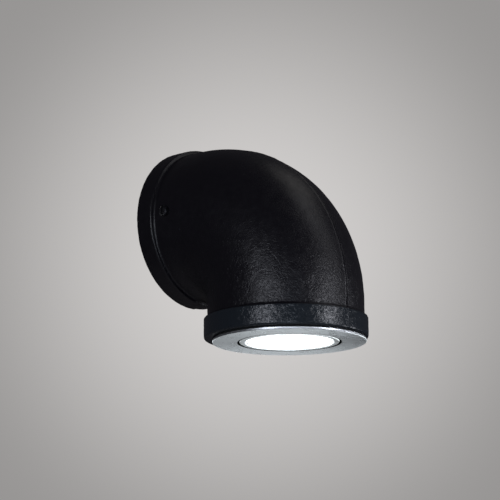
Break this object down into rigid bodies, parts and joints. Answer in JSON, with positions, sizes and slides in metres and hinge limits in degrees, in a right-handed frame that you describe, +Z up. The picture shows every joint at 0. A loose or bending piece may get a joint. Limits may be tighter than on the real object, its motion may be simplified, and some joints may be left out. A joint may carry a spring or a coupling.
{
  "type": "pipe wall light",
  "caption": "Wall light made from a black cast pipe elbow: it leaves the wall and turns down to an LED downlight with a flat metal trim and a tilting lens.",
  "frame": {"origin": "centre of the elbow's wall-side end face, midway between the two wall holes", "axes": "+Z up, -Y out of the wall, +X to the right when facing the wall; the lamp shines along -Z"},
  "size_m": [0.0912, 0.1168, 0.119],
  "materials": {
    "black_paint": "satin black paint over a sand-cast surface",
    "black_screw": "black-oxide steel screw",
    "zinc_plate": "zinc-plated steel sheet",
    "zinc_screw": "zinc-plated steel screw",
    "black_rubber": "matt black rubber",
    "white_nylon": "natural nylon",
    "brass": "plain brass",
    "tinned_copper": "tin-plated copper",
    "earth_insulation": "green-yellow wire insulation",
    "line_insulation": "brown wire insulation",
    "neutral_insulation": "blue wire insulation",
    "white_plastic": "white moulded plastic",
    "circuit_board": "green solder mask",
    "ferrite": "ferrite core with taped bobbin",
    "capacitor_sleeve": "shrink sleeve over an aluminium can",
    "black_nylon": "black nylon",
    "lead_sheath": "white PVC sheath",
    "satin_aluminium": "satin anodised aluminium with a bright edge",
    "grey_foam": "closed-cell foam",
    "clear_silicone": "translucent silicone",
    "clear_glass": "clear toughened glass",
    "clear_acrylic": "clear moulded acrylic",
    "white_board": "white solder mask on aluminium",
    "led_phosphor": "yellow phosphor under a clear dome",
    "grey_silicone": "heat-conducting silicone",
    "bare_aluminium": "cast and turned aluminium",
    "spring_steel": "spring steel"
  },
  "bodies": {
    "fixture": {"elbow_casting": "black_paint", "side_screws": "black_screw", "wall_plate": "zinc_plate", "cable_grommet": "black_rubber", "terminal_block": "white_nylon", "terminal_clamps": "brass", "terminal_screws": "zinc_screw", "terminal_fixing_screw": "zinc_screw", "earth_ring_terminal": "tinned_copper", "earth_screw": "brass", "earth_washer": "zinc_screw", "earth_wire": "earth_insulation", "line_wire": "line_insulation", "neutral_wire": "neutral_insulation", "driver_case": "white_plastic", "driver_lid": "white_plastic", "driver_board": "circuit_board", "driver_transformer": "ferrite", "driver_capacitor": "capacitor_sleeve", "driver_strap": "black_nylon", "lamp_lead": "lead_sheath", "trim_ring": "satin_aluminium", "trim_gasket": "grey_foam", "pivot_screws": "zinc_screw", "pivot_washers": "white_nylon", "clip_pins": "zinc_screw"},
    "lamp_head": {"bezel_ring": "satin_aluminium", "glass_seal": "clear_silicone", "front_glass": "clear_glass", "lens_holder": "white_plastic", "collimator_lenses": "clear_acrylic", "led_emitters": "led_phosphor", "led_board": "white_board", "board_screws": "zinc_screw", "thermal_pad": "grey_silicone", "heat_sink": "bare_aluminium", "lead_gland": "black_nylon"},
    "clip_left": {"clip_arm_left": "zinc_plate", "clip_tip_left": "black_rubber", "clip_spring_left": "spring_steel"},
    "clip_right": {"clip_arm_right": "zinc_plate", "clip_tip_right": "black_rubber", "clip_spring_right": "spring_steel"}
  },
  "joints": [
    {"name": "lamp_tilt", "type": "hinge", "parent": "fixture", "child": "lamp_head", "pos_m": [0.001, -0.0727, -0.0674], "axis": [1, 0, 0], "range_deg": [-15, 15], "deforming": ["lamp_lead"]},
    {"name": "clip_left_fold", "type": "hinge", "parent": "fixture", "child": "clip_left", "pos_m": [-0.0295, -0.0727, -0.0572], "axis": [0, 1, 0], "range_deg": [0, 28], "stiffness_Nm_per_rad": 0.03, "springref_deg": -34.38, "deforming": ["clip_spring_left"]},
    {"name": "clip_right_fold", "type": "hinge", "parent": "fixture", "child": "clip_right", "pos_m": [0.0315, -0.0727, -0.0572], "axis": [0, -1, 0], "range_deg": [0, 28], "stiffness_Nm_per_rad": 0.03, "springref_deg": -34.38, "deforming": ["clip_spring_right"]}
  ]
}
